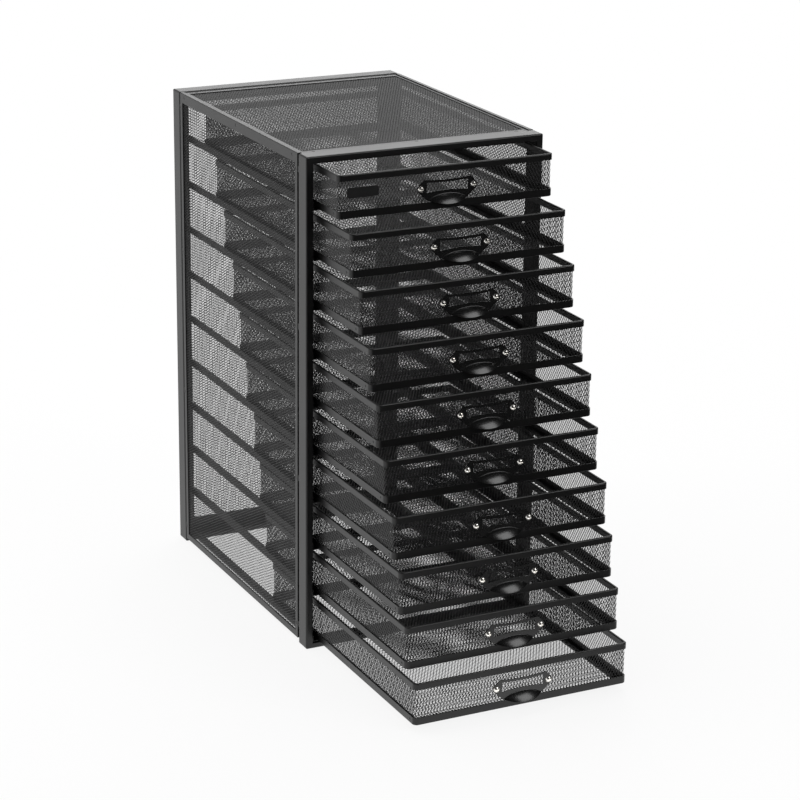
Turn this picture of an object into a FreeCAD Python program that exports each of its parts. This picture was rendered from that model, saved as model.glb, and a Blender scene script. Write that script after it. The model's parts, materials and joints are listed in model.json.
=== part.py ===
import FreeCAD, Part
import math
import os

# Ten-drawer mesh desk organiser for loose sheets, in black powder-coated steel.
#
# A cabinet of two tubular ring frames carries screwed-on mesh panels at its left,
# right and top, a mesh back, and ten pairs of angle runners.  Ten equal mesh
# drawers slide on the runners, each with a label-holder pull screwed to its front.
#
# Units are millimetres.  X runs to the right seen from the front, Y to the back
# and Z up.  The origin is on the ground, in the middle of the space the organiser
# takes up with its drawers standing open in steps.

VEC = FreeCAD.Vector
X_AXIS = VEC(1, 0, 0)
Y_AXIS = VEC(0, 1, 0)
Z_AXIS = VEC(0, 0, 1)
LEFT = -1
RIGHT = 1
tolerance = 1e-3

# --- room round the drawers --------------------------------------------------
# The cabinet is as large as its drawers, its frames and these clearances need.
drawer_side_clearance = 5.0
drawer_rear_clearance = 6.5
drawer_head_clearance = 2.0
gap_between_drawers = 7.3

# --- ring frames of rectangular tube -----------------------------------------
frame_depth = 19.0
post_face_width = 8.0
top_rail_height = 7.5
bottom_rail_height = 6.5
tube_wall = 1.0
tube_edge_radius = 1.5
frame_corner_radius = 2.0
frame_flange_reach = 10.0
frame_flange_sheet = 1.0

# --- diamond mesh ------------------------------------------------------------
# The solids carry the mesh with coarse diamond openings.  The real mesh has the same
# open share, with diamonds of about 3.4 by 5.8.
mesh_sheet = 0.6
mesh_open_share = 0.55
panel_opening_pitch = 41.5
wall_opening_pitch = 27.7
wall_opening_rise = 14.7
floor_opening_pitch = 36.0

# --- mesh panels and their folded borders ------------------------------------
border_thickness = 2.0
panel_groove = 2.5
side_border_upright = 5.5
side_border_top = 10.5
side_border_bottom = 6.5
side_panel_ground_gap = 5.0
side_flange_reach = 4.5
side_flange_sheet = 1.0
side_bend_radius = 0.9
top_border_side = 6.0
top_border_end = 7.0
top_lip_height = 8.0
top_lip_sheet = 1.0
back_border_side = 9.0
back_border_top = 9.0
back_border_bottom = 14.0
back_panel_inset = 0.5

# --- seam tabs and panel screws ----------------------------------------------
seam_tab_height = 6.0
seam_tab_sheet = 1.0
side_seam_screw_count = 4
side_seam_screw_margin = 16.0
top_seam_screw_count = 3
top_seam_screw_margin = 18.5
rail_screw_count = 3
rail_screw_margin = 12.0
rail_screw_drop = 4.0
seam_screw_setback = 2.4
panel_screw_head_diameter = 3.4
panel_screw_head_height = 0.7
panel_screw_shank_diameter = 2.2
panel_screw_shank_length = 4.0
panel_screw_clearance = 0.1
panel_screw_sink = 0.2

# --- drawers -----------------------------------------------------------------
# How far each drawer stands open, from the top drawer to the bottom one.
drawer_openings = [45.0, 75.0, 96.5, 119.0, 137.0, 154.0, 174.0, 189.0, 204.0, 223.0]
drawer_width = 237.0
drawer_length = 342.0
drawer_height = 43.7
drawer_corner_radius = 5.0
hem_sheet = 1.1
hem_fold_radius = 1.2
rim_height = 6.5
base_band_height = 7.8
base_flange_reach = 9.0
base_flange_sheet = 1.0
base_bend_radius = 0.9
dimple_diameter = 3.2
dimple_height = 0.5
dimple_setback = 10.0

# --- runners -----------------------------------------------------------------
runner_sheet = 1.0
runner_height = 7.5
runner_ledge_support = 5.0
runner_end_gap = 2.0
running_gap = 0.3

# --- label-holder pull -------------------------------------------------------
# Heights on the pull are measured up from the foot of its plate.
pull_sheet = 1.0
pull_foot_gap = 1.5
plate_height = 21.0
plate_top_half_width = 25.5
plate_top_dip = 1.3
plate_bottom_half_width = 21.8
window_half_width = 22.8
window_foot_margin = 7.9
window_head_margin = 2.8
window_top_dip = 1.1
window_bottom_rise = 1.5
cup_half_width = 20.0
cup_projection = 8.0
cup_shoulder_rise = 0.7
cup_shoulder_reach = 5.6
cup_arch_height = 5.1
cup_lip_drop = 3.3
cup_crease_radius = 0.7

# --- pull screws and nuts ----------------------------------------------------
pull_screw_half_spacing = 29.0
pull_screw_rise = 12.0
pull_screw_head_diameter = 7.0
pull_screw_head_height = 2.2
pull_screw_shank_diameter = 3.0
pull_screw_tip = 0.8
pull_screw_recess_width = 0.8
pull_screw_recess_length = 4.0
pull_screw_recess_depth = 0.9
ear_margin = 0.5
ear_end_angle = 45.0
screw_hole_clearance = 0.4
nut_across_flats = 5.5
nut_thickness = 2.4
nut_thread_clearance = 0.1

# --- blank badge on the top drawer -------------------------------------------
badge_width = 33.5
badge_height = 10.3
badge_sheet = 1.0
badge_corner_clip = 1.6
badge_edge_setback = 26.8
badge_band_setback = 17.5

# --- places worked out from the sizes ----------------------------------------
drawer_count = len(drawer_openings)
drawer_pitch = drawer_height + gap_between_drawers
bottom_drawer_z = bottom_rail_height + runner_sheet + running_gap
post_inner_x = drawer_width / 2 + drawer_side_clearance
half_width = post_inner_x + post_face_width
cabinet_width = 2 * half_width
cabinet_depth = drawer_length + drawer_rear_clearance + border_thickness + back_panel_inset
top_drawer_top_z = bottom_drawer_z + (drawer_count - 1) * drawer_pitch + drawer_height
cabinet_height = top_drawer_top_z + drawer_head_clearance + top_rail_height
furthest_reach = max(drawer_openings) + cup_projection - hem_sheet + pull_sheet
cabinet_front_y = (furthest_reach - cabinet_depth) / 2
cabinet_back_y = cabinet_front_y + cabinet_depth
front_frame_back_y = cabinet_front_y + frame_depth
rear_frame_front_y = cabinet_back_y - frame_depth
panel_front_y = front_frame_back_y + panel_groove
panel_back_y = rear_frame_front_y - panel_groove
border_inner_x = half_width - border_thickness
mesh_recess = (border_thickness - mesh_sheet) / 2
top_ring_top_z = cabinet_height - side_flange_sheet
top_ring_bottom_z = top_ring_top_z - border_thickness
runner_ledge_reach = drawer_side_clearance + runner_ledge_support
drawer_mesh_inset = hem_sheet
plate_bottom_height = base_band_height + pull_foot_gap
plate_top_height = plate_bottom_height + plate_height
window_bottom_height = plate_bottom_height + window_foot_margin
window_top_height = plate_top_height - window_head_margin
cup_shoulder_height = plate_bottom_height + cup_shoulder_rise
cup_lip_height = plate_bottom_height - cup_lip_drop
pull_screw_height = plate_bottom_height + pull_screw_rise
ear_radius = pull_screw_head_diameter / 2 + ear_margin
badge_centre_x = badge_edge_setback - drawer_width / 2
badge_centre_height = base_band_height + badge_band_setback


def box(x0, x1, y0, y1, z0, z1):
    """Axis-aligned block between two corners."""
    return Part.makeBox(x1 - x0, y1 - y0, z1 - z0, VEC(x0, y0, z0))


def side_box(side, x_in, x_out, y0, y1, z0, z1):
    """Block between two distances from the middle plane, on one side of it."""
    low, high = sorted((side * x_in, side * x_out))
    return box(low, high, y0, y1, z0, z1)


def rounded_block(half_x, y0, y1, z0, z1, radius):
    """Upright block, centred on X, with its four vertical edges rounded."""
    block = box(-half_x, half_x, y0, y1, z0, z1)
    if radius <= 0:
        return block
    upright = [e for e in block.Edges if abs(e.tangentAt(e.FirstParameter).z) > 0.5]
    return block.makeFillet(radius, upright)


def lies_at(edge, x=None, z=None):
    """True if the whole edge keeps to the given X and Z, where they are given."""
    bounds = edge.BoundBox
    keeps_x = x is None or max(abs(bounds.XMin - x), abs(bounds.XMax - x)) < tolerance
    keeps_z = z is None or max(abs(bounds.ZMin - z), abs(bounds.ZMax - z)) < tolerance
    return keeps_x and keeps_z


def plate_from_edges(edges, y0, thickness):
    """Sheet standing in the XZ plane: a closed outline at y0, thickened towards +Y."""
    face = Part.Face(Part.Wire(edges))
    return face.extrude(VEC(0, thickness, 0))


def cylinder(radius, length, start, direction):
    return Part.makeCylinder(radius, length, start, direction)


def spaced(first, last, count):
    """Evenly spaced places from first to last."""
    step = (last - first) / max(count - 1, 1)
    return [first + step * k for k in range(count)]


def is_clear(middle, east, north, obstacles):
    """True if a diamond, widened all round by the ear radius, holds none of the obstacles."""
    half_east = east.Length
    half_north = north.Length
    for place in obstacles:
        offset = place - middle
        share_east = abs(offset.dot(east)) / half_east / (half_east + ear_radius)
        share_north = abs(offset.dot(north)) / half_north / (half_north + ear_radius)
        if share_east + share_north < 1:
            return False
    return True


def mesh_openings(centre, width, height, pitch, rise, obstacles=()):
    """Staggered grid of diamond prisms that open a rectangle of mesh.

    centre is the rectangle's middle, halfway through the sheet.  width and height are
    vectors along its two sides, and pitch and rise are the openings' spacing along them.
    Openings that would meet an obstacle are left out.
    """
    columns = max(1, round(width.Length / pitch))
    rows = max(1, round(height.Length / rise))
    cell_east = width / columns
    cell_north = height / rows
    east = cell_east / 2 * math.sqrt(mesh_open_share)
    north = cell_north / 2 * math.sqrt(mesh_open_share)
    through = east.cross(north).normalize() * mesh_sheet
    places = [(i + 0.5, j + 0.5) for i in range(columns) for j in range(rows)]
    places += [(i, j) for i in range(1, columns) for j in range(1, rows)]
    prisms = []
    for i, j in places:
        middle = centre - (width + height) / 2 + cell_east * i + cell_north * j
        if is_clear(middle, east, north, obstacles):
            corners = [middle - through + reach for reach in (east, north, east * -1, north * -1)]
            face = Part.Face(Part.makePolygon(corners + corners[:1]))
            prisms.append(face.extrude(through * 2))
    return prisms


def opened(sheet, prisms):
    """Sheet with all its mesh openings cut out at once."""
    return sheet.cut(Part.makeCompound(prisms))


def mesh_panel(sheet, width, height):
    """Flat sheet of panel mesh; width and height are vectors along its two sides."""
    pitch = panel_opening_pitch
    return opened(sheet, mesh_openings(sheet.BoundBox.Center, width, height, pitch, pitch))


def save(name, *solids):
    shape = solids[0] if len(solids) == 1 else Part.makeCompound(list(solids))
    shape.exportStep(os.path.join("parts", name + ".step"))


# --- frames ------------------------------------------------------------------
def tube(x0, x1, y0, y1, z0, z1, run):
    """Rectangular tube with rounded long edges; run is the unit vector along it."""
    block = box(x0, x1, y0, y1, z0, z1)
    long_edges = [e for e in block.Edges if abs(e.tangentAt(e.FirstParameter).dot(run)) > 0.5]
    outer = block.makeFillet(tube_edge_radius, long_edges)
    dx, dy, dz = [tube_wall * (1 - abs(c)) for c in run]
    return outer.cut(box(x0 + dx, x1 - dx, y0 + dy, y1 - dy, z0 + dz, z1 - dz))


def mitred(member, corners, y0, y1):
    """Keep the part of a frame member that lies inside its mitred outline."""
    points = [VEC(x, y0, z) for x, z in corners]
    face = Part.Face(Part.makePolygon(points + points[:1]))
    outline = face.extrude(VEC(0, y1 - y0, 0))
    ring = Part.makeBox(cabinet_width, y1 - y0, cabinet_height, VEC(-half_width, y0, 0))
    corner_edges = [e for e in ring.Edges if abs(e.tangentAt(e.FirstParameter).y) > 0.5]
    return member.common(outline).common(ring.makeFillet(frame_corner_radius, corner_edges))


def screw_hole(place, direction):
    """Countersunk hole for a panel screw: head pocket, then a clearance hole."""
    pocket_radius = panel_screw_head_diameter / 2 + panel_screw_clearance
    pocket_depth = panel_screw_head_height + panel_screw_sink
    shank_radius = panel_screw_shank_diameter / 2 + panel_screw_clearance
    pocket = cylinder(pocket_radius, pocket_depth, place, direction)
    reach = pocket_depth + panel_screw_shank_length + panel_screw_clearance
    return pocket.fuse(cylinder(shank_radius, reach, place, direction))


def panel_screw(place, direction):
    """Small flat screw whose head lies just below the surface at place."""
    head_start = place + direction * panel_screw_sink
    head = cylinder(panel_screw_head_diameter / 2, panel_screw_head_height, head_start, direction)
    shank_start = head_start + direction * panel_screw_head_height
    shank = cylinder(panel_screw_shank_diameter / 2, panel_screw_shank_length, shank_start, direction)
    return head.fuse(shank)


def side_seam_screws(side):
    """Places and inward direction of the screws beside the two upright seams."""
    inward = VEC(-side, 0, 0)
    low = side_panel_ground_gap + side_seam_screw_margin
    high = cabinet_height - side_seam_screw_margin
    rows = [panel_front_y + seam_screw_setback, panel_back_y - seam_screw_setback]
    return [(VEC(side * half_width, y, z), inward)
            for y in rows for z in spaced(low, high, side_seam_screw_count)]


def side_rail_screws(side):
    """Places and inward direction of the screws along the upper border strip."""
    inward = VEC(-side, 0, 0)
    height = cabinet_height - rail_screw_drop
    first = panel_front_y + rail_screw_margin
    last = panel_back_y - rail_screw_margin
    return [(VEC(side * half_width, y, height), inward)
            for y in spaced(first, last, rail_screw_count)]


def top_seam_screws():
    """Places and direction of the screws beside the two cross seams of the top."""
    reach = half_width - top_seam_screw_margin
    rows = [panel_front_y + seam_screw_setback, panel_back_y - seam_screw_setback]
    return [(VEC(x, y, top_ring_top_z), VEC(0, 0, -1))
            for y in rows for x in spaced(-reach, reach, top_seam_screw_count)]


def drilled(shape, screws):
    for place, direction in screws:
        shape = shape.cut(screw_hole(place, direction))
    return shape


def ring_frame(prefix, y0, y1, flange_y0, flange_y1):
    """Four mitred tubes; posts and top rail carry a flange that the panels screw to."""
    upper_z = cabinet_height - top_rail_height
    flange_outer = border_inner_x
    flange_inner = flange_outer - frame_flange_sheet
    for side, name in ((LEFT, "left"), (RIGHT, "right")):
        low, high = sorted((side * half_width, side * post_inner_x))
        post = tube(low, high, y0, y1, 0, cabinet_height, Z_AXIS)
        corners = [(side * half_width, 0), (side * post_inner_x, bottom_rail_height),
                   (side * post_inner_x, upper_z), (side * half_width, cabinet_height)]
        post = mitred(post, corners, y0, y1)
        flange_top = top_ring_bottom_z - frame_flange_sheet - panel_screw_clearance
        flange = side_box(side, flange_inner, flange_outer, flange_y0, flange_y1,
                          side_panel_ground_gap, flange_top)
        save(prefix + "_" + name + "_post", drilled(post.fuse(flange), side_seam_screws(side)))

    bottom = tube(-half_width, half_width, y0, y1, 0, bottom_rail_height, X_AXIS)
    corners = [(-half_width, 0), (half_width, 0),
               (post_inner_x, bottom_rail_height), (-post_inner_x, bottom_rail_height)]
    save(prefix + "_bottom_rail", mitred(bottom, corners, y0, y1))

    top = tube(-half_width, half_width, y0, y1, upper_z, cabinet_height, X_AXIS)
    corners = [(-half_width, cabinet_height), (half_width, cabinet_height),
               (post_inner_x, upper_z), (-post_inner_x, upper_z)]
    top = mitred(top, corners, y0, y1)
    flange = box(-post_inner_x, post_inner_x, flange_y0, flange_y1,
                 top_ring_bottom_z - frame_flange_sheet, top_ring_bottom_z)
    save(prefix + "_top_rail", drilled(top.fuse(flange), top_seam_screws()))


# --- panels ------------------------------------------------------------------
def side_panel(side, name):
    """Screwed-on side panel: a border with an inturned upper flange, and its mesh."""
    bottom_z = side_panel_ground_gap
    window = (panel_front_y + side_border_upright, panel_back_y - side_border_upright,
              bottom_z + side_border_bottom, cabinet_height - side_border_top)
    border = side_box(side, border_inner_x, half_width, panel_front_y, panel_back_y,
                      bottom_z, cabinet_height)
    border = border.cut(side_box(side, border_inner_x, half_width, *window))
    border = border.fuse(side_box(side, half_width - side_flange_reach, half_width, panel_front_y,
                                  panel_back_y, top_ring_top_z, cabinet_height))
    border = border.removeSplitter()
    bend = [e for e in border.Edges if lies_at(e, x=side * half_width, z=cabinet_height)]
    border = border.makeFillet(side_bend_radius, bend)
    tab_outer = half_width - (border_thickness - seam_tab_sheet) / 2
    for place, _ in side_seam_screws(side):
        nearer_front = place.y < (panel_front_y + panel_back_y) / 2
        y0, y1 = (front_frame_back_y, panel_front_y) if nearer_front else (panel_back_y, rear_frame_front_y)
        border = border.fuse(side_box(side, tab_outer - seam_tab_sheet, tab_outer, y0, y1,
                                      place.z - seam_tab_height / 2, place.z + seam_tab_height / 2))
    border = drilled(border.removeSplitter(), side_seam_screws(side) + side_rail_screws(side))
    save(name + "_panel_border", border)

    mesh_outer = half_width - mesh_recess
    sheet = side_box(side, mesh_outer - mesh_sheet, mesh_outer, *window)
    y0, y1, z0, z1 = window
    save(name + "_panel_mesh", mesh_panel(sheet, Y_AXIS * (y1 - y0), Z_AXIS * (z1 - z0)))


def top_panel():
    """Top panel: its border lies under the side flanges and has a lip at each side."""
    window = (-border_inner_x + top_border_side, border_inner_x - top_border_side,
              panel_front_y + top_border_end, panel_back_y - top_border_end)
    border = box(-border_inner_x, border_inner_x, panel_front_y, panel_back_y,
                 top_ring_bottom_z, top_ring_top_z)
    border = border.cut(box(*window, top_ring_bottom_z, top_ring_top_z))
    lip_front_y = front_frame_back_y + frame_flange_reach + panel_screw_clearance
    lip_back_y = rear_frame_front_y - frame_flange_reach - panel_screw_clearance
    for side in (LEFT, RIGHT):
        border = border.fuse(side_box(side, border_inner_x - top_lip_sheet, border_inner_x,
                                      lip_front_y, lip_back_y,
                                      top_ring_bottom_z - top_lip_height, top_ring_bottom_z))
    border = border.removeSplitter()
    border = drilled(border, top_seam_screws() + side_rail_screws(LEFT) + side_rail_screws(RIGHT))
    save("top_panel_border", border)

    mesh_top = top_ring_top_z - mesh_recess
    sheet = box(*window, mesh_top - mesh_sheet, mesh_top)
    x0, x1, y0, y1 = window
    save("top_panel_mesh", mesh_panel(sheet, X_AXIS * (x1 - x0), Y_AXIS * (y1 - y0)))


def back_panel():
    """Back panel, welded inside the opening of the rear frame."""
    outer_back_y = cabinet_back_y - back_panel_inset
    y0 = outer_back_y - border_thickness
    low_z = bottom_rail_height
    high_z = cabinet_height - top_rail_height
    window_x = post_inner_x - back_border_side
    window_low = low_z + back_border_bottom
    window_high = high_z - back_border_top
    border = box(-post_inner_x, post_inner_x, y0, outer_back_y, low_z, high_z)
    border = border.cut(box(-window_x, window_x, y0, outer_back_y, window_low, window_high))
    save("back_panel_border", border)

    mesh_back = outer_back_y - mesh_recess
    sheet = box(-window_x, window_x, mesh_back - mesh_sheet, mesh_back, window_low, window_high)
    save("back_panel_mesh",
         mesh_panel(sheet, X_AXIS * 2 * window_x, Z_AXIS * (window_high - window_low)))


def panel_screws():
    places = side_seam_screws(LEFT) + side_seam_screws(RIGHT) + top_seam_screws()
    places += side_rail_screws(LEFT) + side_rail_screws(RIGHT)
    save("panel_screws", *[panel_screw(place, direction) for place, direction in places])


# --- runners -----------------------------------------------------------------
def drawer_bottom_z(number):
    """Underside of a drawer; number 1 is the top drawer."""
    return bottom_drawer_z + (drawer_count - number) * drawer_pitch


def runner(side, number):
    """Angle runner: an upright leg against the posts and a ledge under the drawer."""
    y0 = cabinet_front_y + runner_end_gap
    y1 = cabinet_back_y - back_panel_inset - border_thickness - runner_end_gap
    ledge_top = drawer_bottom_z(number) - running_gap
    ledge_bottom = ledge_top - runner_sheet
    leg = side_box(side, post_inner_x - runner_sheet, post_inner_x, y0, y1,
                   ledge_bottom, ledge_bottom + runner_height)
    ledge = side_box(side, post_inner_x - runner_ledge_reach, post_inner_x, y0, y1,
                     ledge_bottom, ledge_top)
    return leg.fuse(ledge).removeSplitter()


def runners(side, name):
    save(name + "_runners", *[runner(side, k) for k in range(1, drawer_count + 1)])


# --- drawers -----------------------------------------------------------------
# Each drawer is first made shut and standing on the ground: its front is at y = 0
# and its underside at z = 0.
def drawer_block(inset, z0, z1):
    """The drawer's outline, drawn in by inset all round, between two heights."""
    radius = max(drawer_corner_radius - inset, 0)
    return rounded_block(drawer_width / 2 - inset, inset, drawer_length - inset, z0, z1, radius)


def pull_screw_places(y):
    return [VEC(side * pull_screw_half_spacing, y, pull_screw_height) for side in (LEFT, RIGHT)]


def wall_openings():
    """Mesh openings of the four walls, between the base band and the rim."""
    inset = drawer_mesh_inset + mesh_sheet / 2
    rim_foot = drawer_height - rim_height
    level = (base_band_height + rim_foot) / 2
    rise = Z_AXIS * (rim_foot - base_band_height)
    across = X_AXIS * (drawer_width - 2 * drawer_corner_radius)
    along = Y_AXIS * (drawer_length - 2 * drawer_corner_radius)
    spacing = (wall_opening_pitch, wall_opening_rise)
    prisms = mesh_openings(VEC(0, inset, level), across, rise, *spacing, pull_screw_places(inset))
    prisms += mesh_openings(VEC(0, drawer_length - inset, level), across, rise, *spacing)
    for side in (LEFT, RIGHT):
        centre = VEC(side * (drawer_width / 2 - inset), drawer_length / 2, level)
        prisms += mesh_openings(centre, along, rise, *spacing)
    return prisms


def floor_openings():
    """Mesh openings of the floor, inside the base band's flange."""
    centre = VEC(0, drawer_length / 2, base_flange_sheet + mesh_sheet / 2)
    across = X_AXIS * (drawer_width - 2 * base_flange_reach)
    along = Y_AXIS * (drawer_length - 2 * base_flange_reach)
    return mesh_openings(centre, across, along, floor_opening_pitch, floor_opening_pitch)


def drawer_tray():
    """Mesh walls as one wrapped strip, and the mesh floor inside their foot."""
    outer = drawer_mesh_inset
    inner = outer + mesh_sheet
    wall_top = drawer_height - hem_sheet
    walls = drawer_block(outer, base_flange_sheet, wall_top)
    walls = walls.cut(drawer_block(inner, base_flange_sheet, wall_top))
    hole_radius = (pull_screw_shank_diameter + screw_hole_clearance) / 2
    for place in pull_screw_places(outer):
        walls = walls.cut(cylinder(hole_radius, mesh_sheet, place, Y_AXIS))
    floor = drawer_block(inner, base_flange_sheet, base_flange_sheet + mesh_sheet)
    return [opened(walls, wall_openings()), opened(floor, floor_openings())]


def drawer_rim():
    """Folded hem over the upper edge of the mesh."""
    low = drawer_height - rim_height
    hem_width = hem_sheet + mesh_sheet + hem_sheet
    hem = drawer_block(0, low, drawer_height).cut(drawer_block(hem_width, low, drawer_height))
    slot_top = drawer_height - hem_sheet
    slot = drawer_block(hem_sheet, low, slot_top).cut(drawer_block(hem_sheet + mesh_sheet, low, slot_top))
    fold = [e for e in hem.Edges if lies_at(e, z=drawer_height)]
    return hem.makeFillet(hem_fold_radius, fold).cut(slot)


def dimple(side):
    """Shallow round dimple pressed out of the base band, behind the front corner."""
    radius = ((dimple_diameter / 2) ** 2 + dimple_height ** 2) / (2 * dimple_height)
    face_x = side * drawer_width / 2
    centre = VEC(face_x - side * (radius - dimple_height), dimple_setback, base_band_height / 2)
    ball = Part.makeSphere(radius, centre)
    half = dimple_diameter
    keep = side_box(side, drawer_width / 2 - hem_sheet / 2, drawer_width / 2 + dimple_height,
                    dimple_setback - half, dimple_setback + half,
                    centre.z - half, centre.z + half)
    return ball.common(keep)


def drawer_base_band():
    """Angle band round the foot of the mesh; its flange carries the floor."""
    block = drawer_block(0, 0, base_band_height)
    block = block.makeFillet(base_bend_radius, [e for e in block.Edges if lies_at(e, z=0)])
    band = block.cut(drawer_block(hem_sheet, base_flange_sheet, base_band_height))
    band = band.cut(drawer_block(base_flange_reach, 0, base_flange_sheet))
    for side in (LEFT, RIGHT):
        band = band.fuse(dimple(side))
    return band.removeSplitter()


def arc(start, middle, end):
    return Part.Arc(start, middle, end).toShape()


def pull_plate(y0):
    """Flat plate of the pull: two screw ears, a dipped top edge and a label window."""
    ear_dx = ear_radius * math.cos(math.radians(ear_end_angle))
    ear_dz = ear_radius * math.sin(math.radians(ear_end_angle))

    def at(x, z):
        return VEC(x, y0, z)

    def ear(side):
        tip = at(side * (pull_screw_half_spacing + ear_radius), pull_screw_height)
        upper = at(side * (pull_screw_half_spacing + ear_dx), pull_screw_height + ear_dz)
        lower = at(side * (pull_screw_half_spacing + ear_dx), pull_screw_height - ear_dz)
        return upper, tip, lower

    top_left = at(-plate_top_half_width, plate_top_height)
    top_right = at(plate_top_half_width, plate_top_height)
    bottom_left = at(-plate_bottom_half_width, plate_bottom_height)
    bottom_right = at(plate_bottom_half_width, plate_bottom_height)
    right_upper, right_tip, right_lower = ear(RIGHT)
    left_upper, left_tip, left_lower = ear(LEFT)
    outline = [
        arc(top_left, at(0, plate_top_height - plate_top_dip), top_right),
        Part.makeLine(top_right, right_upper),
        arc(right_upper, right_tip, right_lower),
        Part.makeLine(right_lower, bottom_right),
        Part.makeLine(bottom_right, bottom_left),
        Part.makeLine(bottom_left, left_lower),
        arc(left_lower, left_tip, left_upper),
        Part.makeLine(left_upper, top_left),
    ]
    plate = plate_from_edges(outline, y0, pull_sheet)

    window_tl = at(-window_half_width, window_top_height)
    window_tr = at(window_half_width, window_top_height)
    window_bl = at(-window_half_width, window_bottom_height)
    window_br = at(window_half_width, window_bottom_height)
    window = [
        arc(window_tl, at(0, window_top_height - window_top_dip), window_tr),
        Part.makeLine(window_tr, window_br),
        arc(window_br, at(0, window_bottom_height + window_bottom_rise), window_bl),
        Part.makeLine(window_bl, window_tl),
    ]
    plate = plate.cut(plate_from_edges(window, y0, pull_sheet))
    hole_radius = (pull_screw_shank_diameter + screw_hole_clearance) / 2
    for place in pull_screw_places(y0):
        plate = plate.cut(cylinder(hole_radius, pull_sheet, place, Y_AXIS))
    return plate


def cup_solid(front_y, shrink):
    """Solid turned about an upright axis, whose rounded edge bulges out at front_y as the cup.

    The cup's section at the middle is one arc through its arch, its shoulder and its lip,
    drawn in by shrink.
    """
    axis_distance = (cup_half_width ** 2 - cup_shoulder_reach ** 2) / (2 * cup_shoulder_reach)
    section = Part.Circle(VEC(axis_distance, 0, cup_shoulder_height + cup_arch_height),
                          VEC(axis_distance + cup_shoulder_reach, 0, cup_shoulder_height),
                          VEC(axis_distance + cup_projection, 0, cup_lip_height))
    centre = section.Center
    radius = section.Radius - shrink
    foot = centre - Z_AXIS * radius
    crown = centre + Z_AXIS * radius
    axis_foot = VEC(0, 0, foot.z)
    axis_crown = VEC(0, 0, crown.z)
    profile = Part.Wire([
        Part.makeLine(axis_foot, foot),
        arc(foot, centre + X_AXIS * radius, crown),
        Part.makeLine(crown, axis_crown),
        Part.makeLine(axis_crown, axis_foot),
    ])
    disc = Part.Face(profile).revolve(VEC(0, 0, 0), Z_AXIS, 360)
    disc.translate(VEC(0, front_y + axis_distance, 0))
    return disc


def in_front_of(y, reach_y):
    """Block that keeps only what stands in front of y, down to reach_y."""
    span = drawer_width / 2
    return box(-span, span, reach_y, y, cup_lip_height - drawer_height, drawer_height)


def below_lip(front_y):
    """Wedge under the cup's mouth, which slopes down from the plate's foot to the lip."""
    drop = plate_bottom_height - cup_lip_height
    steep = drop / cup_projection
    near_y = front_y + 2 * pull_sheet
    far_y = front_y - 2 * cup_projection
    span = cup_half_width + cup_projection
    ground = cup_lip_height - 2 * drawer_height
    points = [
        VEC(-span, near_y, plate_bottom_height + steep * (near_y - front_y)),
        VEC(-span, far_y, plate_bottom_height + steep * (far_y - front_y)),
        VEC(-span, far_y, ground),
        VEC(-span, near_y, ground),
    ]
    face = Part.Face(Part.makePolygon(points + points[:1]))
    return face.extrude(VEC(2 * span, 0, 0))


def is_cup_crease(edge, front_y):
    """True for the arched edge where the cup leaves the front of the plate."""
    bounds = edge.BoundBox
    in_plate = abs(bounds.YMin - front_y) < tolerance and abs(bounds.YMax - front_y) < tolerance
    crown_z = cup_shoulder_height + cup_arch_height
    return in_plate and abs(bounds.ZMax - crown_z) < pull_sheet


def label_pull():
    """Label frame and hooded finger cup, pressed from one sheet."""
    plate_back = drawer_mesh_inset
    plate_front = plate_back - pull_sheet
    reach_y = plate_front - 2 * cup_projection
    wedge = below_lip(plate_front)
    cup = cup_solid(plate_front, 0).common(in_front_of(plate_front, reach_y)).cut(wedge)
    hollow = cup_solid(plate_front, pull_sheet).common(in_front_of(plate_back, reach_y))
    pull = pull_plate(plate_front).fuse(cup).removeSplitter()
    crease = [e for e in pull.Edges if is_cup_crease(e, plate_front)]
    return pull.makeFillet(cup_crease_radius, crease).cut(hollow).removeSplitter()


def pull_screw(place):
    """Dome-headed cross-recess screw through the pull and the mesh."""
    head_radius = pull_screw_head_diameter / 2
    ball_radius = (head_radius ** 2 + pull_screw_head_height ** 2) / (2 * pull_screw_head_height)
    crown = VEC(place.x, place.y - pull_screw_head_height, place.z)
    ball = Part.makeSphere(ball_radius, crown + Y_AXIS * ball_radius)
    head = ball.common(cylinder(head_radius, pull_screw_head_height, crown, Y_AXIS))
    half_long = pull_screw_recess_length / 2
    half_wide = pull_screw_recess_width / 2
    for half_x, half_z in ((half_long, half_wide), (half_wide, half_long)):
        head = head.cut(box(place.x - half_x, place.x + half_x, crown.y,
                            crown.y + pull_screw_recess_depth, place.z - half_z, place.z + half_z))
    length = pull_sheet + mesh_sheet + nut_thickness + pull_screw_tip
    return head.fuse(cylinder(pull_screw_shank_diameter / 2, length, place, Y_AXIS))


def nut(place):
    """Hexagon nut on the screw, against the inside of the mesh."""
    corner_radius = nut_across_flats / math.sqrt(3)
    corners = [place + VEC(corner_radius * math.cos(k * math.pi / 3), 0,
                           corner_radius * math.sin(k * math.pi / 3)) for k in range(7)]
    body = Part.Face(Part.makePolygon(corners)).extrude(Y_AXIS * nut_thickness)
    bore_radius = pull_screw_shank_diameter / 2 + nut_thread_clearance
    return body.cut(cylinder(bore_radius, nut_thickness, place, Y_AXIS))


def pull_fasteners():
    plate_front = drawer_mesh_inset - pull_sheet
    mesh_back = drawer_mesh_inset + mesh_sheet
    screws = [pull_screw(place) for place in pull_screw_places(plate_front)]
    return screws + [nut(place) for place in pull_screw_places(mesh_back)]


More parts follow.
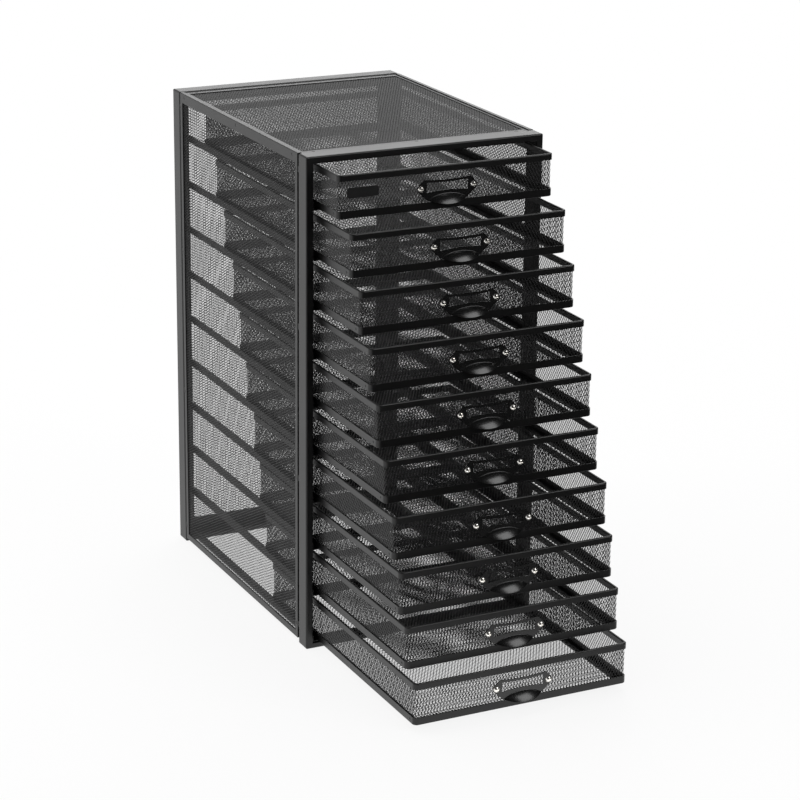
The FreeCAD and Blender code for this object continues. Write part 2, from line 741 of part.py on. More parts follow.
def badge():
    """Blank badge plate with clipped corners."""
    half_x = badge_width / 2
    half_z = badge_height / 2
    clip = badge_corner_clip
    corners = [(half_x, half_z - clip), (half_x - clip, half_z), (clip - half_x, half_z),
               (-half_x, half_z - clip), (-half_x, clip - half_z), (clip - half_x, -half_z),
               (half_x - clip, -half_z), (half_x, clip - half_z)]
    y0 = drawer_mesh_inset - badge_sheet
    points = [VEC(badge_centre_x + x, y0, badge_centre_height + z) for x, z in corners]
    return Part.Face(Part.makePolygon(points + points[:1])).extrude(Y_AXIS * badge_sheet)


def placed(solids, number):
    """Drawer pieces carried to their level and drawn out by the drawer's opening."""
    opening = drawer_openings[number - 1]
    move = VEC(0, cabinet_front_y - opening, drawer_bottom_z(number))
    return [solid.translated(move) for solid in solids]


def drawers():
    tray = drawer_tray()
    hems = [drawer_rim(), drawer_base_band()]
    pull = [label_pull()]
    fasteners = pull_fasteners()
    for number in range(1, drawer_count + 1):
        name = "drawer_%02d" % number
        save(name + "_mesh_tray", *placed(tray, number))
        save(name + "_hem_bands", *placed(hems, number))
        save(name + "_label_pull", *placed(pull, number))
        save(name + "_pull_fasteners", *placed(fasteners, number))
    save("blank_badge", *placed([badge()], 1))


def build():
    os.makedirs("parts", exist_ok=True)
    ring_frame("front", cabinet_front_y, front_frame_back_y,
               front_frame_back_y, front_frame_back_y + frame_flange_reach)
    ring_frame("rear", rear_frame_front_y, cabinet_back_y,
               rear_frame_front_y - frame_flange_reach, rear_frame_front_y)
    side_panel(LEFT, "left")
    side_panel(RIGHT, "right")
    top_panel()
    back_panel()
    panel_screws()
    runners(LEFT, "left")
    runners(RIGHT, "right")
    drawers()


build()
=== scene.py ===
"""Looks of the ten-drawer mesh organiser: its diamond mesh, its finishes and a plain studio.

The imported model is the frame.  Its tubes, borders, hems, runners, pulls and screws keep
their shapes and get their finishes here.  Its coarse mesh sheets are replaced by fine
diamond lattices of the same size, in the same places.  All lengths are in metres.
"""
import json
import logging
import math
from dataclasses import dataclass, field
from enum import Enum
from functools import cache

import bpy
import numpy as np
from mathutils import Matrix, Vector

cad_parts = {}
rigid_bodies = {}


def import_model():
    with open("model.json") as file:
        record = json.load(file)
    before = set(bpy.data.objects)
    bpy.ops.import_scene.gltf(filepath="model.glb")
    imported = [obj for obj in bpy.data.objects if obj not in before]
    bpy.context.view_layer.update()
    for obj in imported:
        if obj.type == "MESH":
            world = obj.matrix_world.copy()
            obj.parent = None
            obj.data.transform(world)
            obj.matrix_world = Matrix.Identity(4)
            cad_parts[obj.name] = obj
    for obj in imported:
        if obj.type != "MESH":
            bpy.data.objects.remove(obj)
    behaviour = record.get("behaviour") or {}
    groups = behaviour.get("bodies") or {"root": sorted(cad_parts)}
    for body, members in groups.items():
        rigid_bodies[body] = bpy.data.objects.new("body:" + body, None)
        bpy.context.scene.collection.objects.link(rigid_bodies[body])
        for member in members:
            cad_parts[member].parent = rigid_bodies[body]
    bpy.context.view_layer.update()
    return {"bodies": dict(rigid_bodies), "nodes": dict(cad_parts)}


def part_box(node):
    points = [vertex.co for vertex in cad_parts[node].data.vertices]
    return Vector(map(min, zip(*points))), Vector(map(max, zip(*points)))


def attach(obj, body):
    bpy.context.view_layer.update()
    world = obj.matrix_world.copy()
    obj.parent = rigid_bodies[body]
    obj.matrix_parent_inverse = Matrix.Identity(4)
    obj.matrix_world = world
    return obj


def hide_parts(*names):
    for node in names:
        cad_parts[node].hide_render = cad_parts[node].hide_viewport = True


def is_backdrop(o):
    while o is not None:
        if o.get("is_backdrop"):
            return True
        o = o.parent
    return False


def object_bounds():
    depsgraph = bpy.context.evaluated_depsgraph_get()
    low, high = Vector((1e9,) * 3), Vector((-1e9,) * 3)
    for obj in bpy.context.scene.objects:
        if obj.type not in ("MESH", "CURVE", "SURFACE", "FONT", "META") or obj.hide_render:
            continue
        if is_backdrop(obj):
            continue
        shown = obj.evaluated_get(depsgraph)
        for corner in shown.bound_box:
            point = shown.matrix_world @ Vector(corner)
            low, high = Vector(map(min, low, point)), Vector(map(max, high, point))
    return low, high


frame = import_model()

LOG = logging.getLogger("organiser")
MM = 0.001
NOISE_MIDDLE = 0.5
MIX_FIRST, MIX_SECOND, MIX_RESULT = 6, 7, 2
DRAWER_COUNT = sum(1 for body in frame["bodies"] if body.startswith("drawer_"))


# --- shader maths ------------------------------------------------------------
class Signal:
    """An output socket of a shader node, on which Python's operators add Math nodes."""

    def __init__(self, graph: "Graph", socket: bpy.types.NodeSocket) -> None:
        """Keeps the graph and the socket that the value comes from."""
        self.graph = graph
        self.socket = socket

    def _math(self, operation: str, first: "Signal | float", second: "Signal | float") -> "Signal":
        """Adds one Math node."""
        return self.graph.node("ShaderNodeMath", {"operation": operation}, {0: first, 1: second})

    def __add__(self, other: "Signal | float") -> "Signal":
        """This value plus another."""
        return self._math("ADD", self, other)

    def __sub__(self, other: "Signal | float") -> "Signal":
        """This value less another."""
        return self._math("SUBTRACT", self, other)

    def __rsub__(self, other: "Signal | float") -> "Signal":
        """Another value less this one."""
        return self._math("SUBTRACT", other, self)

    def __mul__(self, other: "Signal | float") -> "Signal":
        """This value times another."""
        return self._math("MULTIPLY", self, other)

    __radd__ = __add__
    __rmul__ = __mul__


class Graph:
    """The node tree of a material or world, with one way to add any node."""

    def __init__(self, owner: bpy.types.Material | bpy.types.World) -> None:
        """Switches the owner's nodes on and empties its tree.

        Args:
            owner: the material or world that the graph belongs to.
        """
        owner.use_nodes = True
        self.tree = owner.node_tree
        self.tree.nodes.clear()

    def node(self, kind: str, settings: dict | None = None, inputs: dict | None = None,
             output: int | str = 0) -> Signal:
        """Adds a node, sets it up and feeds it.

        Args:
            kind: the node's type.
            settings: the node's own settings, which are set first.
            inputs: a value or a Signal for each socket, by its name or number.
            output: the output socket to hand back.

        Returns:
            The chosen output as a Signal.
        """
        made = self.tree.nodes.new(kind)
        for name, value in (settings or {}).items():
            setattr(made, name, value)
        for name, value in (inputs or {}).items():
            if isinstance(value, Signal):
                self.tree.links.new(value.socket, made.inputs[name])
            else:
                made.inputs[name].default_value = value
        return Signal(self, made.outputs[output] if made.outputs else None)

    def mix(self, share: Signal, first: tuple[float, ...], second: tuple[float, ...]) -> Signal:
        """Blend of two colours; share 0 gives the first and 1 the second."""
        inputs = {"Factor": share, MIX_FIRST: (*first, 1.0), MIX_SECOND: (*second, 1.0)}
        return self.node("ShaderNodeMix", {"data_type": "RGBA"}, inputs, output=MIX_RESULT)

    def noise(self, place: Signal, size: float, detail: float = 2.0) -> Signal:
        """Noise from 0 to 1 whose patches are about as wide as size."""
        inputs = {"Vector": place, "Scale": 1.0 / size, "Detail": detail}
        return self.node("ShaderNodeTexNoise", {}, inputs, output="Fac")


# --- finishes ----------------------------------------------------------------
@dataclass(frozen=True)
class Paint:
    """Baked powder paint on steel: satin, faintly clouded, with a fine orange peel.

    Attributes:
        name: the material's name.
        colour: the paint's colour.
        bloom: the slightly paler colour of its clouds.
        roughness: the middle of its roughness.
        roughness_spread: how far the clouds move the roughness.
        cloud_size: width of the clouds.
        mottle_size: width of the finer patches in the clouds.
        mottle_share: how much of the clouding is due to the finer patches.
        peel_size: width of the orange peel's bumps; 0 leaves the peel out.
        peel_depth: height of the bumps.
        peel_strength: how much of the bumps the shading shows.
        lacquer: how much of a clear lacquer lies over the paint.
        lacquer_roughness: the lacquer's roughness.
    """

    name: str
    colour: tuple[float, float, float]
    bloom: tuple[float, float, float]
    roughness: float
    roughness_spread: float = 0.10
    cloud_size: float = 45 * MM
    mottle_size: float = 3.75 * MM
    mottle_share: float = 0.35
    peel_size: float = 0.9 * MM
    peel_depth: float = 0.03 * MM
    peel_strength: float = 0.35
    lacquer: float = 0.0
    lacquer_roughness: float = 0.20

    @cache
    def material(self) -> bpy.types.Material:
        """Builds the paint's node tree, once."""
        made = bpy.data.materials.new(self.name)
        graph = Graph(made)
        place = graph.node("ShaderNodeTexCoord", output="Object")
        cloud = graph.noise(place, self.cloud_size, detail=4.0)
        mottle = graph.noise(place, self.mottle_size)
        blend = (1 - self.mottle_share) * cloud + self.mottle_share * mottle
        inputs = {
            "Base Color": graph.mix(blend, self.colour, self.bloom),
            "Roughness": self.roughness + (blend - NOISE_MIDDLE) * self.roughness_spread,
            "Coat Weight": self.lacquer, "Coat Roughness": self.lacquer_roughness,
        }
        if self.peel_size:
            peel = graph.noise(place, self.peel_size, detail=1.0)
            inputs["Normal"] = graph.node("ShaderNodeBump", {}, {
                "Strength": self.peel_strength, "Distance": self.peel_depth, "Height": peel})
        surface = graph.node("ShaderNodeBsdfPrincipled", {}, inputs)
        graph.node("ShaderNodeOutputMaterial", {}, {"Surface": surface})
        return made


@dataclass(frozen=True)
class Plating:
    """Bright plating on small hardware, with faint polishing haze.

    Attributes:
        name: the material's name.
        colour: the metal's colour.
        roughness: the least roughness.
        haze: how much rougher the hazy patches are.
        haze_size: width of the patches.
    """

    name: str
    colour: tuple[float, float, float]
    roughness: float
    haze: float
    haze_size: float

    @cache
    def material(self) -> bpy.types.Material:
        """Builds the plating's node tree, once."""
        made = bpy.data.materials.new(self.name)
        graph = Graph(made)
        place = graph.node("ShaderNodeTexCoord", output="Object")
        patch = graph.noise(place, self.haze_size)
        surface = graph.node("ShaderNodeBsdfPrincipled", {}, {
            "Base Color": (*self.colour, 1.0), "Metallic": 1.0,
            "Roughness": self.roughness + patch * self.haze})
        graph.node("ShaderNodeOutputMaterial", {}, {"Surface": surface})
        return made


FRAME_PAINT = Paint("frame_powder_coat", (0.0035, 0.0035, 0.0036), (0.006, 0.006, 0.0062), 0.38)
BORDER_PAINT = Paint("border_powder_coat", (0.0035, 0.0035, 0.0036), (0.006, 0.006, 0.0062), 0.40)
RUNNER_PAINT = Paint("runner_powder_coat", (0.005, 0.005, 0.005), (0.008, 0.008, 0.008), 0.50)
HEM_PAINT = Paint("hem_powder_coat", (0.003, 0.003, 0.003), (0.005, 0.005, 0.005), 0.36)
PULL_PAINT = Paint("pull_satin_black", (0.004, 0.004, 0.004), (0.006, 0.006, 0.006), 0.26,
                   roughness_spread=0.05, cloud_size=20 * MM, mottle_size=1.7 * MM,
                   peel_size=0.6 * MM, peel_depth=0.008 * MM, lacquer=0.4)
BADGE_PAINT = Paint("badge_satin_black", (0.010, 0.010, 0.010), (0.014, 0.014, 0.014), 0.34,
                    roughness_spread=0.06, cloud_size=8 * MM, mottle_size=0.7 * MM,
                    peel_size=0.0)
SCREW_PAINT = Paint("panel_screw_black", (0.012, 0.012, 0.012), (0.020, 0.020, 0.020), 0.40,
                    cloud_size=3 * MM, mottle_size=0.25 * MM, peel_size=0.0)
MESH_PAINT = Paint("mesh_powder_coat", (0.007, 0.007, 0.0072), (0.011, 0.011, 0.0114), 0.38,
                   cloud_size=30 * MM, mottle_size=2.5 * MM, peel_size=0.0)
PULL_CHROME = Plating("pull_screw_chrome", (0.90, 0.88, 0.84), roughness=0.14, haze=0.08, haze_size=1.5 * MM)


# --- mesh building -----------------------------------------------------------
def mesh_piece(name: str, points: np.ndarray, quads: np.ndarray,
               finish: bpy.types.Material) -> bpy.types.Object:
    """Puts arrays of points and four-cornered faces into a new object at the origin.

    Args:
        name: the piece's name.
        points: an (n, 3) array of places.
        quads: an (m, 4) array of point numbers, anticlockwise seen from outside.
        finish: the material.

    Returns:
        The new object, linked to the scene.
    """
    mesh = bpy.data.meshes.new(name)
    mesh.vertices.add(len(points))
    mesh.vertices.foreach_set("co", points.astype(np.float32).ravel())
    mesh.loops.add(quads.size)
    mesh.loops.foreach_set("vertex_index", quads.astype(np.int32).ravel())
    mesh.polygons.add(len(quads))
    mesh.polygons.foreach_set("loop_start", np.arange(0, quads.size, quads.shape[1], dtype=np.int32))
    mesh.polygons.foreach_set("use_smooth", np.zeros(len(quads), bool))
    mesh.update(calc_edges=True)
    mesh.validate()
    mesh.materials.append(finish)
    piece = bpy.data.objects.new(name, mesh)
    bpy.context.scene.collection.objects.link(piece)
    return piece


@dataclass(frozen=True)
class Lattice:
    """Expanded diamond mesh: rows of diamond holes between flat, leaning strands.

    Attributes:
        long_pitch: distance from hole to hole along the diamonds' long way.
        short_pitch: distance from hole to hole along their short way.
        strand: width of a strand.
        lean: how far the strands' edges stand out of the sheet's middle; the edge that
            comes first along the short way stands in front where lean is positive.
    """

    long_pitch: float
    short_pitch: float
    strand: float
    lean: float

    @property
    def hole_share(self) -> float:
        """Size of a hole beside the diamond that it lies in: one less the strand's share."""
        width = self.long_pitch * self.short_pitch / (2 * math.hypot(self.long_pitch, self.short_pitch))
        return 1 - self.strand / (2 * width)

    def sheet(self, rows: int, columns: int, closed: bool = False) -> tuple[np.ndarray, np.ndarray]:
        """Lays the lattice out flat.

        Hole (row, column) is centred at column + half of row's oddness short pitches across
        and row half long pitches along.  Its four corners are its centre plus or minus the
        hole's half widths.  One face joins each pair of facing hole edges, which is a
        strand, and one joins the four corners that meet between two holes of a row.

        Args:
            rows: how many rows of holes there are.
            columns: how many holes a row has.
            closed: whether the last column is followed by the first, as round a tray.

        Returns:
            The corners as (across, along, lift), and the faces as their numbers.
        """
        row, column = np.meshgrid(np.arange(rows), np.arange(columns), indexing="ij")
        across = (column + (row % 2) / 2) * self.short_pitch
        along = row * self.long_pitch / 2
        half_across = self.hole_share * self.short_pitch / 2
        half_along = self.hole_share * self.long_pitch / 2
        corner_across = np.array([half_across, 0, -half_across, 0])
        corner_along = np.array([0, half_along, 0, -half_along])
        corner_lift = np.array([self.lean, 0, -self.lean, 0])
        corners = np.stack(np.broadcast_arrays(
            across[..., None] + corner_across, along[..., None] + corner_along, corner_lift), -1)

        def number(at_row: np.ndarray, at_column: np.ndarray, corner: int) -> np.ndarray:
            """The number of one corner of each hole."""
            return (at_row * columns + at_column % columns) * 4 + corner

        right, top, left, bottom = range(4)
        ahead = column + row % 2
        behind = ahead - 1
        inner_rows = (row > 0) & (row < rows - 1)
        has_above = row < rows - 1
        faces = [
            (has_above & (closed | (ahead < columns)),
             (number(row, column, right), number(row + 1, ahead, bottom),
              number(row + 1, ahead, left), number(row, column, top))),
            (has_above & (closed | (behind >= 0)),
             (number(row, column, top), number(row + 1, behind, right),
              number(row + 1, behind, bottom), number(row, column, left))),
            (inner_rows & (closed | ((column < columns - 1) & (ahead < columns))),
             (number(row, column, right), number(row - 1, ahead, top),
              number(row, column + 1, left), number(row + 1, ahead, bottom))),
        ]
        quads = [np.stack(corner_numbers, -1)[keep] for keep, corner_numbers in faces]
        return corners.reshape(-1, 3), np.concatenate(quads)


@dataclass(frozen=True)
class RoundedLoop:
    """Level path round a rectangle with rounded corners, anticlockwise seen from above.

    Attributes:
        low: the rectangle's lowest X and Y.
        high: its highest X and Y.
        radius: the corners' radius.
    """

    low: tuple[float, float]
    high: tuple[float, float]
    radius: float

    @property
    def runs(self) -> np.ndarray:
        """Lengths of the four straight runs: front, right, back and left."""
        width = self.high[0] - self.low[0] - 2 * self.radius
        depth = self.high[1] - self.low[1] - 2 * self.radius
        return np.array([width, depth, width, depth])

    @property
    def length(self) -> float:
        """The whole way round."""
        return float(self.runs.sum()) + 2 * math.pi * self.radius

    def at(self, travel: np.ndarray) -> tuple[np.ndarray, np.ndarray]:
        """Places and outward directions at distances along the path.

        Each side is its straight run and then a quarter turn about the next corner's
        centre, so a place is that centre plus the radius along the outward direction.

        Args:
            travel: distances from the start of the front run.

        Returns:
            The places and the outward directions, as (n, 2) arrays.
        """
        (x0, y0), (x1, y1), r = self.low, self.high, self.radius
        starts = np.concatenate(([0.0], np.cumsum(self.runs + r * math.pi / 2)))
        travel = np.mod(travel, starts[-1])
        side = np.clip(np.searchsorted(starts, travel, side="right") - 1, 0, 3)
        begins = np.array([(x0 + r, y0), (x1, y0 + r), (x1 - r, y1), (x0, y1 - r)])[side]
        heading = side * math.pi / 2
        forward = np.stack((np.cos(heading), np.sin(heading)), 1)
        outward = np.stack((np.sin(heading), -np.cos(heading)), 1)
        step = travel - starts[side]
        straight = np.minimum(step, self.runs[side])[:, None]
        swing = (np.maximum(step - self.runs[side], 0) / r)[:, None]
        normal = outward * np.cos(swing) + forward * np.sin(swing)
        return begins + forward * straight - outward * r + normal * r, normal


# --- the cabinet -------------------------------------------------------------
class Side(Enum):
    """The four meshed sides: across, along and outward directions of each lattice."""

    LEFT = ((0, 0, 1), (0, 1, 0), (-1, 0, 0))
    RIGHT = ((0, 0, 1), (0, -1, 0), (1, 0, 0))
    TOP = ((1, 0, 0), (0, 1, 0), (0, 0, 1))
    BACK = ((0, 0, 1), (1, 0, 0), (0, 1, 0))


CABINET_FINISHES = {("_post", "_rail"): FRAME_PAINT, ("_panel_border",): BORDER_PAINT,
                    ("_runners",): RUNNER_PAINT, ("panel_screws",): SCREW_PAINT}
SIDE_LATTICE = Lattice(long_pitch=6.1 * MM, short_pitch=3.07 * MM, strand=0.65 * MM, lean=0.35 * MM)


@dataclass
class Cabinet:
    """Ring frames, panels, runners and panel screws.

    Attributes:
        lattices: the lattice of each meshed side.
    """

    lattices: dict[Side, Lattice] = field(default_factory=lambda: {
        Side.LEFT: SIDE_LATTICE,
        Side.RIGHT: SIDE_LATTICE,
        Side.TOP: Lattice(long_pitch=5.7 * MM, short_pitch=3.05 * MM, strand=0.72 * MM, lean=-0.45 * MM),
        Side.BACK: SIDE_LATTICE,
    })

    def panel_mesh(self, side: Side, finish: bpy.types.Material) -> bpy.types.Object:
        """Makes the lattice of one side, where its coarse sheet lies and a little into its border.

        Args:
            side: which side.
            finish: the mesh's material.

        Returns:
            The lattice piece.
        """
        node = side.name.lower() + "_panel_mesh"
        low, high = (np.array(corner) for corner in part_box(node))
        across, along, outward = (np.array(way, float) for way in side.value)
        lattice = self.lattices[side]
        span = high - low
        columns = math.ceil(abs(span @ across) / lattice.short_pitch) + 1
        rows = math.ceil(abs(span @ along) / (lattice.long_pitch / 2)) + 1
        flat, quads = lattice.sheet(rows, columns)
        flat[:, :2] -= (flat[:, :2].min(0) + flat[:, :2].max(0)) / 2
        points = (low + high) / 2 + flat @ np.stack((across, along, outward))
        piece = mesh_piece(node + "_lattice", points, quads, finish)
        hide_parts(node)
        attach(piece, "cabinet")
        return piece

    def dress(self) -> None:
        """Gives the cabinet's own pieces their finishes and makes its meshes."""
        for name in frame["nodes"]:
            for endings, finish in CABINET_FINISHES.items():
                if name.endswith(endings):
                    paint_node(name, finish.material())
        for side in Side:
            report(self.panel_mesh(side, MESH_PAINT.material()))


# --- the drawers -------------------------------------------------------------
@dataclass
class Drawer:
    """One drawer: mesh tray, hems, pull and fasteners.

    Attributes:
        number: 1 for the top drawer.
        wall: lattice of the walls, whose long way is upright.
        floor: lattice of the floor, whose long way runs front to back.
        sheet: thickness of the mesh.
        corner_radius: radius of the walls' corners at the middle of the sheet.
    """

    number: int
    wall: Lattice = Lattice(long_pitch=5.75 * MM, short_pitch=3.37 * MM, strand=0.70 * MM, lean=0.27 * MM)
    floor: Lattice = Lattice(long_pitch=5.75 * MM, short_pitch=3.37 * MM, strand=0.70 * MM, lean=-0.27 * MM)
    sheet: float = 0.6 * MM
    corner_radius: float = 3.6 * MM

    @property
    def name(self) -> str:
        """The drawer's body, and the first part of its nodes' names."""
        return f"drawer_{self.number:02d}"

    def wall_mesh(self, low: np.ndarray, high: np.ndarray) -> tuple[np.ndarray, np.ndarray]:
        """Wraps a lattice round the drawer as its walls.

        Args:
            low: lowest corner of the tray.
            high: highest corner of the tray.

        Returns:
            The points and the faces.
        """
        inset = self.sheet / 2
        loop = RoundedLoop(tuple(low[:2] + inset), tuple(high[:2] - inset), self.corner_radius)
        columns = round(loop.length / self.wall.short_pitch)
        half_hole = self.wall.hole_share * self.wall.long_pitch / 2
        foot = low[2] + half_hole
        rows = int((high[2] - half_hole - foot) / (self.wall.long_pitch / 2)) + 1
        flat, quads = self.wall.sheet(rows, columns, closed=True)
        travel = flat[:, 0] * loop.length / (columns * self.wall.short_pitch)
        place, outward = loop.at(travel)
        level = place + outward * flat[:, 2:3]
        return np.column_stack((level, foot + flat[:, 1])), quads

    def floor_mesh(self, low: np.ndarray, high: np.ndarray) -> tuple[np.ndarray, np.ndarray]:
        """Lays a lattice on the foot band's flange as the floor.

        Args:
            low: lowest corner of the tray.
            high: highest corner of the tray.

        Returns:
            The points and the faces.
        """
        width, depth = high[:2] - low[:2] - 2 * self.sheet
        columns = int(width / self.floor.short_pitch) - 1
        rows = int(depth / (self.floor.long_pitch / 2)) - 1
        flat, quads = self.floor.sheet(rows, columns)
        flat[:, :2] -= (flat[:, :2].min(0) + flat[:, :2].max(0)) / 2
        middle = (low + high) / 2
        return flat + (middle[0], middle[1], low[2] + self.sheet / 2), quads

    def tray(self, finish: bpy.types.Material) -> bpy.types.Object:
        """Makes the mesh tray: the walls and the floor as one piece.

        Args:
            finish: the mesh's material.

        Returns:
            The tray.
        """
        node = self.name + "_mesh_tray"
        low, high = (np.array(corner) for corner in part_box(node))
        walls, wall_quads = self.wall_mesh(low, high)
        floor, floor_quads = self.floor_mesh(low, high)
        points = np.concatenate((walls, floor))
        quads = np.concatenate((wall_quads, floor_quads + len(walls)))
        piece = mesh_piece(node + "_lattice", points, quads, finish)
        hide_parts(node)
        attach(piece, self.name)
        return piece


@dataclass
class DrawerStack:
    """All the drawers, which share their finishes, and the blank badge on the top one."""

    drawers: list[Drawer] = field(default_factory=lambda: [
        Drawer(number) for number in range(1, DRAWER_COUNT + 1)])

    def dress(self) -> None:
        """Gives every drawer its finishes and its mesh."""
        for drawer in self.drawers:
            paint_node(drawer.name + "_hem_bands", HEM_PAINT.material())
            paint_node(drawer.name + "_label_pull", PULL_PAINT.material())
            paint_node(drawer.name + "_pull_fasteners", PULL_CHROME.material())
            report(drawer.tray(MESH_PAINT.material()))
        paint_node("blank_badge", BADGE_PAINT.material())


def paint_node(name: str, finish: bpy.types.Material) -> None:
    """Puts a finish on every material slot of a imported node."""
    for slot in frame["nodes"][name].material_slots:
        slot.material = finish
    LOG.info("%s: %s", name, finish.name)


def report(piece: bpy.types.Object) -> None:
    """Logs a new piece's name and size."""
    LOG.info("%s: %d faces", piece.name, len(piece.data.polygons))


# --- the studio --------------------------------------------------------------
@dataclass(frozen=True)
class Softbox:
    """One square soft lamp.

    Attributes:
        name: the lamp's name.
        place: where it hangs.
        width: its width.
        watts: its power.
        mirrored: whether the object's gloss shows it.
    """

    name: str
    place: tuple[float, float, float]
    width: float
    watts: float
    mirrored: bool = True

    def hang(self, target: Vector) -> None:
        """Hangs the lamp so that it faces the target."""
        lamp = bpy.data.lights.new(self.name, "AREA")
        lamp.size = self.width
        lamp.energy = self.watts
        holder = bpy.data.objects.new(self.name, lamp)
        holder.location = self.place
        holder.rotation_euler = (target - holder.location).to_track_quat("-Z", "Y").to_euler()
        holder.visible_glossy = self.mirrored
        bpy.context.scene.collection.objects.link(holder)


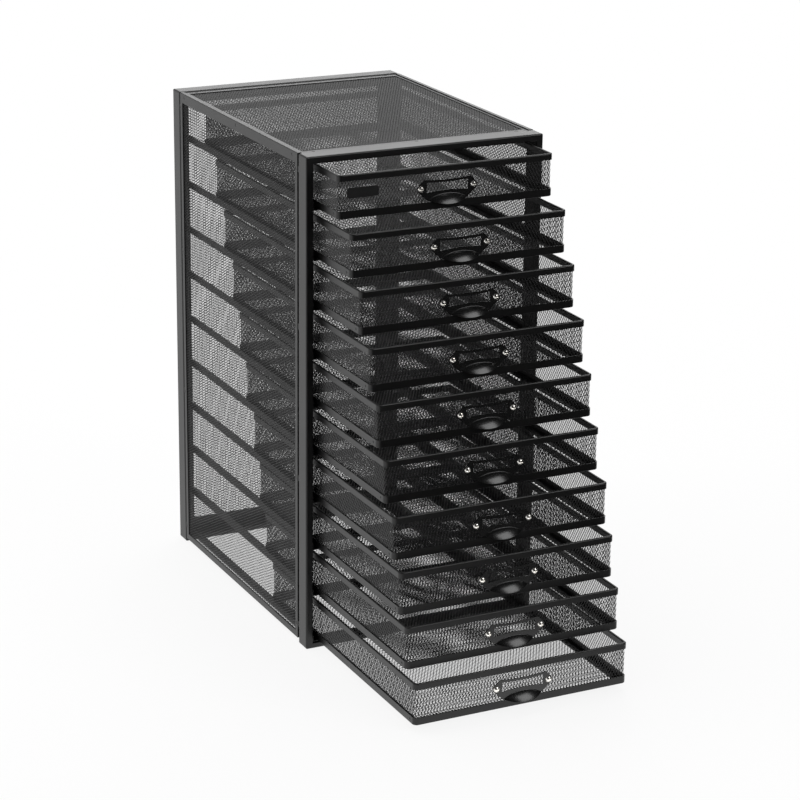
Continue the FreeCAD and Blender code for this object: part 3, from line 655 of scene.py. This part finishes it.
@dataclass
class Studio:
    """White floor, soft lamps, a darker front of the room and the camera.

    Attributes:
        floor_reach: half the floor's width.
        floor_colour: the floor's colour.
        near_glow: share of plain white that the camera sees in the floor at the object.
        glow_start: distance from the object's middle where that share starts to grow.
        glow_end: distance where the floor is plain white.
        front: level direction towards the dark front of the room.
        sheet_start: reach of the white sheet towards the front, as mirrored in the object.
        sheet_end: where its mirror image has become dark.
        backdrop_level: brightness of the room's back and sides, as mirrored in the object.
        side_start: how far towards the front the room's sides start to darken.
        side_end: where they have become dark.
        wall_start: height of direction where the white wall starts to end, as mirrored.
        wall_end: height of direction where its mirror image has become the dim ceiling.
        dark_level: brightness of the room's front, as mirrored in the object.
        ceiling_level: brightness of the ceiling, as mirrored in the object.
        fill_level: brightness of the room as a light.
        softboxes: the lamps: a large one overhead, and one behind, at the left and in front.
        camera_place: where the camera stands.
        camera_turn: how far it looks to the right of straight back, in degrees.
        camera_dip: how far it looks down, in degrees.
        camera_roll: its roll, in degrees.
        lens: focal length for a sensor 36 mm wide, in millimetres.
    """

    floor_reach: float = 14.0
    floor_colour: float = 0.85
    near_glow: float = 0.88
    glow_start: float = 0.5
    glow_end: float = 1.5
    front: tuple[float, float, float] = (0.45, -0.89, 0.0)
    sheet_start: float = 0.30
    sheet_end: float = 0.60
    backdrop_level: float = 1.0
    side_start: float = -0.2
    side_end: float = 0.4
    wall_start: float = 0.12
    wall_end: float = 0.45
    dark_level: float = 0.03
    ceiling_level: float = 0.15
    fill_level: float = 0.85
    softboxes: tuple[Softbox, ...] = (
        Softbox("overhead_softbox", place=(0.2, 0.9, 2.4), width=2.0, watts=30.0),
        Softbox("rear_softbox", place=(1.3, 2.7, 1.6), width=1.8, watts=14.0),
        Softbox("left_softbox", place=(-2.4, 0.9, 1.2), width=1.4, watts=20.0, mirrored=False),
        Softbox("front_softbox", place=(1.4, -2.3, 2.0), width=1.9, watts=36.0),
    )
    camera_place: tuple[float, float, float] = (-1.1481, -2.3102, 1.1046)
    camera_turn: float = 26.487
    camera_dip: float = 18.62
    camera_roll: float = 0.705
    lens: float = 117.3

    def ray(self, graph: Graph, kind: str) -> Signal:
        """1 for one kind of ray, such as "Is Camera Ray", and 0 for the others."""
        return graph.node("ShaderNodeLightPath", output=kind)

    def ramp(self, graph: Graph, value: Signal, start: float, end: float, low: float,
             high: float) -> Signal:
        """Value carried smoothly from low at start to high at end."""
        return graph.node("ShaderNodeMapRange", {"interpolation_type": "SMOOTHSTEP"}, {
            "Value": value, "From Min": start, "From Max": end, "To Min": low, "To Max": high})

    def frontness(self, graph: Graph, place: Signal) -> Signal:
        """How far a place or direction lies towards the front of the room."""
        return graph.node("ShaderNodeVectorMath", {"operation": "DOT_PRODUCT"},
                          {0: place, 1: self.front}, output="Value")

    def floor(self) -> None:
        """Makes the floor.

        It keeps the object's shadow, turns plain white further out, and is mirrored in the
        object as a white sheet that ends some way in front.
        """
        made = bpy.data.materials.new("studio_floor")
        graph = Graph(made)
        place = graph.node("ShaderNodeTexCoord", output="Object")
        distance = graph.node("ShaderNodeVectorMath", {"operation": "LENGTH"}, {0: place},
                              output="Value")
        glow = self.ramp(graph, distance, self.glow_start, self.glow_end, self.near_glow, 1.0)
        mirrored = self.ramp(graph, self.frontness(graph, place), self.sheet_start, self.sheet_end,
                             self.backdrop_level, self.dark_level)
        camera = self.ray(graph, "Is Camera Ray")
        glossy = self.ray(graph, "Is Glossy Ray")
        paper = graph.node("ShaderNodeBsdfDiffuse", {}, {"Color": (self.floor_colour,) * 3 + (1.0,)})
        shine = graph.node("ShaderNodeEmission", {}, {"Strength": camera + glossy * mirrored})
        surface = graph.node("ShaderNodeMixShader", {}, {
            0: camera * glow + glossy, 1: paper, 2: shine})
        graph.node("ShaderNodeOutputMaterial", {}, {"Surface": surface})
        reach = self.floor_reach
        corners = np.array([(-reach, -reach, 0), (reach, -reach, 0), (reach, reach, 0), (-reach, reach, 0)])
        mesh_piece("studio_floor", corners, np.array([[0, 1, 2, 3]]), made)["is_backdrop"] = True

    def surroundings(self) -> None:
        """Makes the world: white to the camera, dark in front as mirrored, and a plain fill."""
        world = bpy.data.worlds.new("studio_room")
        bpy.context.scene.world = world
        graph = Graph(world)
        direction = graph.node("ShaderNodeTexCoord", output="Generated")
        height = graph.node("ShaderNodeSeparateXYZ", {}, {"Vector": direction}, output="Z")
        side = self.ramp(graph, self.frontness(graph, direction), self.side_start, self.side_end,
                         1.0, self.dark_level)
        wall = self.ramp(graph, height, self.wall_start, self.wall_end, self.backdrop_level,
                         self.ceiling_level)
        camera = self.ray(graph, "Is Camera Ray")
        glossy = self.ray(graph, "Is Glossy Ray")
        level = camera + (glossy * wall + (1 - camera - glossy) * self.fill_level) * side
        room = graph.node("ShaderNodeBackground", {}, {"Color": (1, 1, 1, 1), "Strength": level})
        graph.node("ShaderNodeOutputWorld", {}, {"Surface": room})

    def lamps(self) -> None:
        """Hangs the lamps, which all face the middle of the object."""
        middle = Vector((0.0, 0.0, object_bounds()[1][2] / 2))
        for lamp in self.softboxes:
            lamp.hang(middle)

    def camera(self) -> None:
        """Sets the camera up from its place, its turn, its dip and its roll."""
        turn, dip, roll = (math.radians(a) for a in (self.camera_turn, self.camera_dip, self.camera_roll))
        forward = Vector((math.sin(turn) * math.cos(dip), math.cos(turn) * math.cos(dip), -math.sin(dip)))
        level = Vector((math.cos(turn), -math.sin(turn), 0))
        upright = level.cross(forward)
        right = math.cos(roll) * level + math.sin(roll) * upright
        up = math.cos(roll) * upright - math.sin(roll) * level
        data = bpy.data.cameras.new("studio_camera")
        data.lens = self.lens
        holder = bpy.data.objects.new("studio_camera", data)
        holder.matrix_world = (Matrix.Translation(self.camera_place)
                               @ Matrix((right, up, -forward)).transposed().to_4x4())
        bpy.context.scene.collection.objects.link(holder)
        bpy.context.scene.camera = holder

    def build(self) -> None:
        """Makes the whole studio."""
        self.floor()
        self.surroundings()
        self.lamps()
        self.camera()
        bpy.context.scene.view_settings.view_transform = "Standard"


def main() -> None:
    """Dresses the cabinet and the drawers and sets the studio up."""
    logging.basicConfig(level=logging.INFO, format="%(message)s")
    Cabinet().dress()
    DrawerStack().dress()
    Studio().build()
    bpy.context.view_layer.update()


if __name__ == "__main__":
    main()
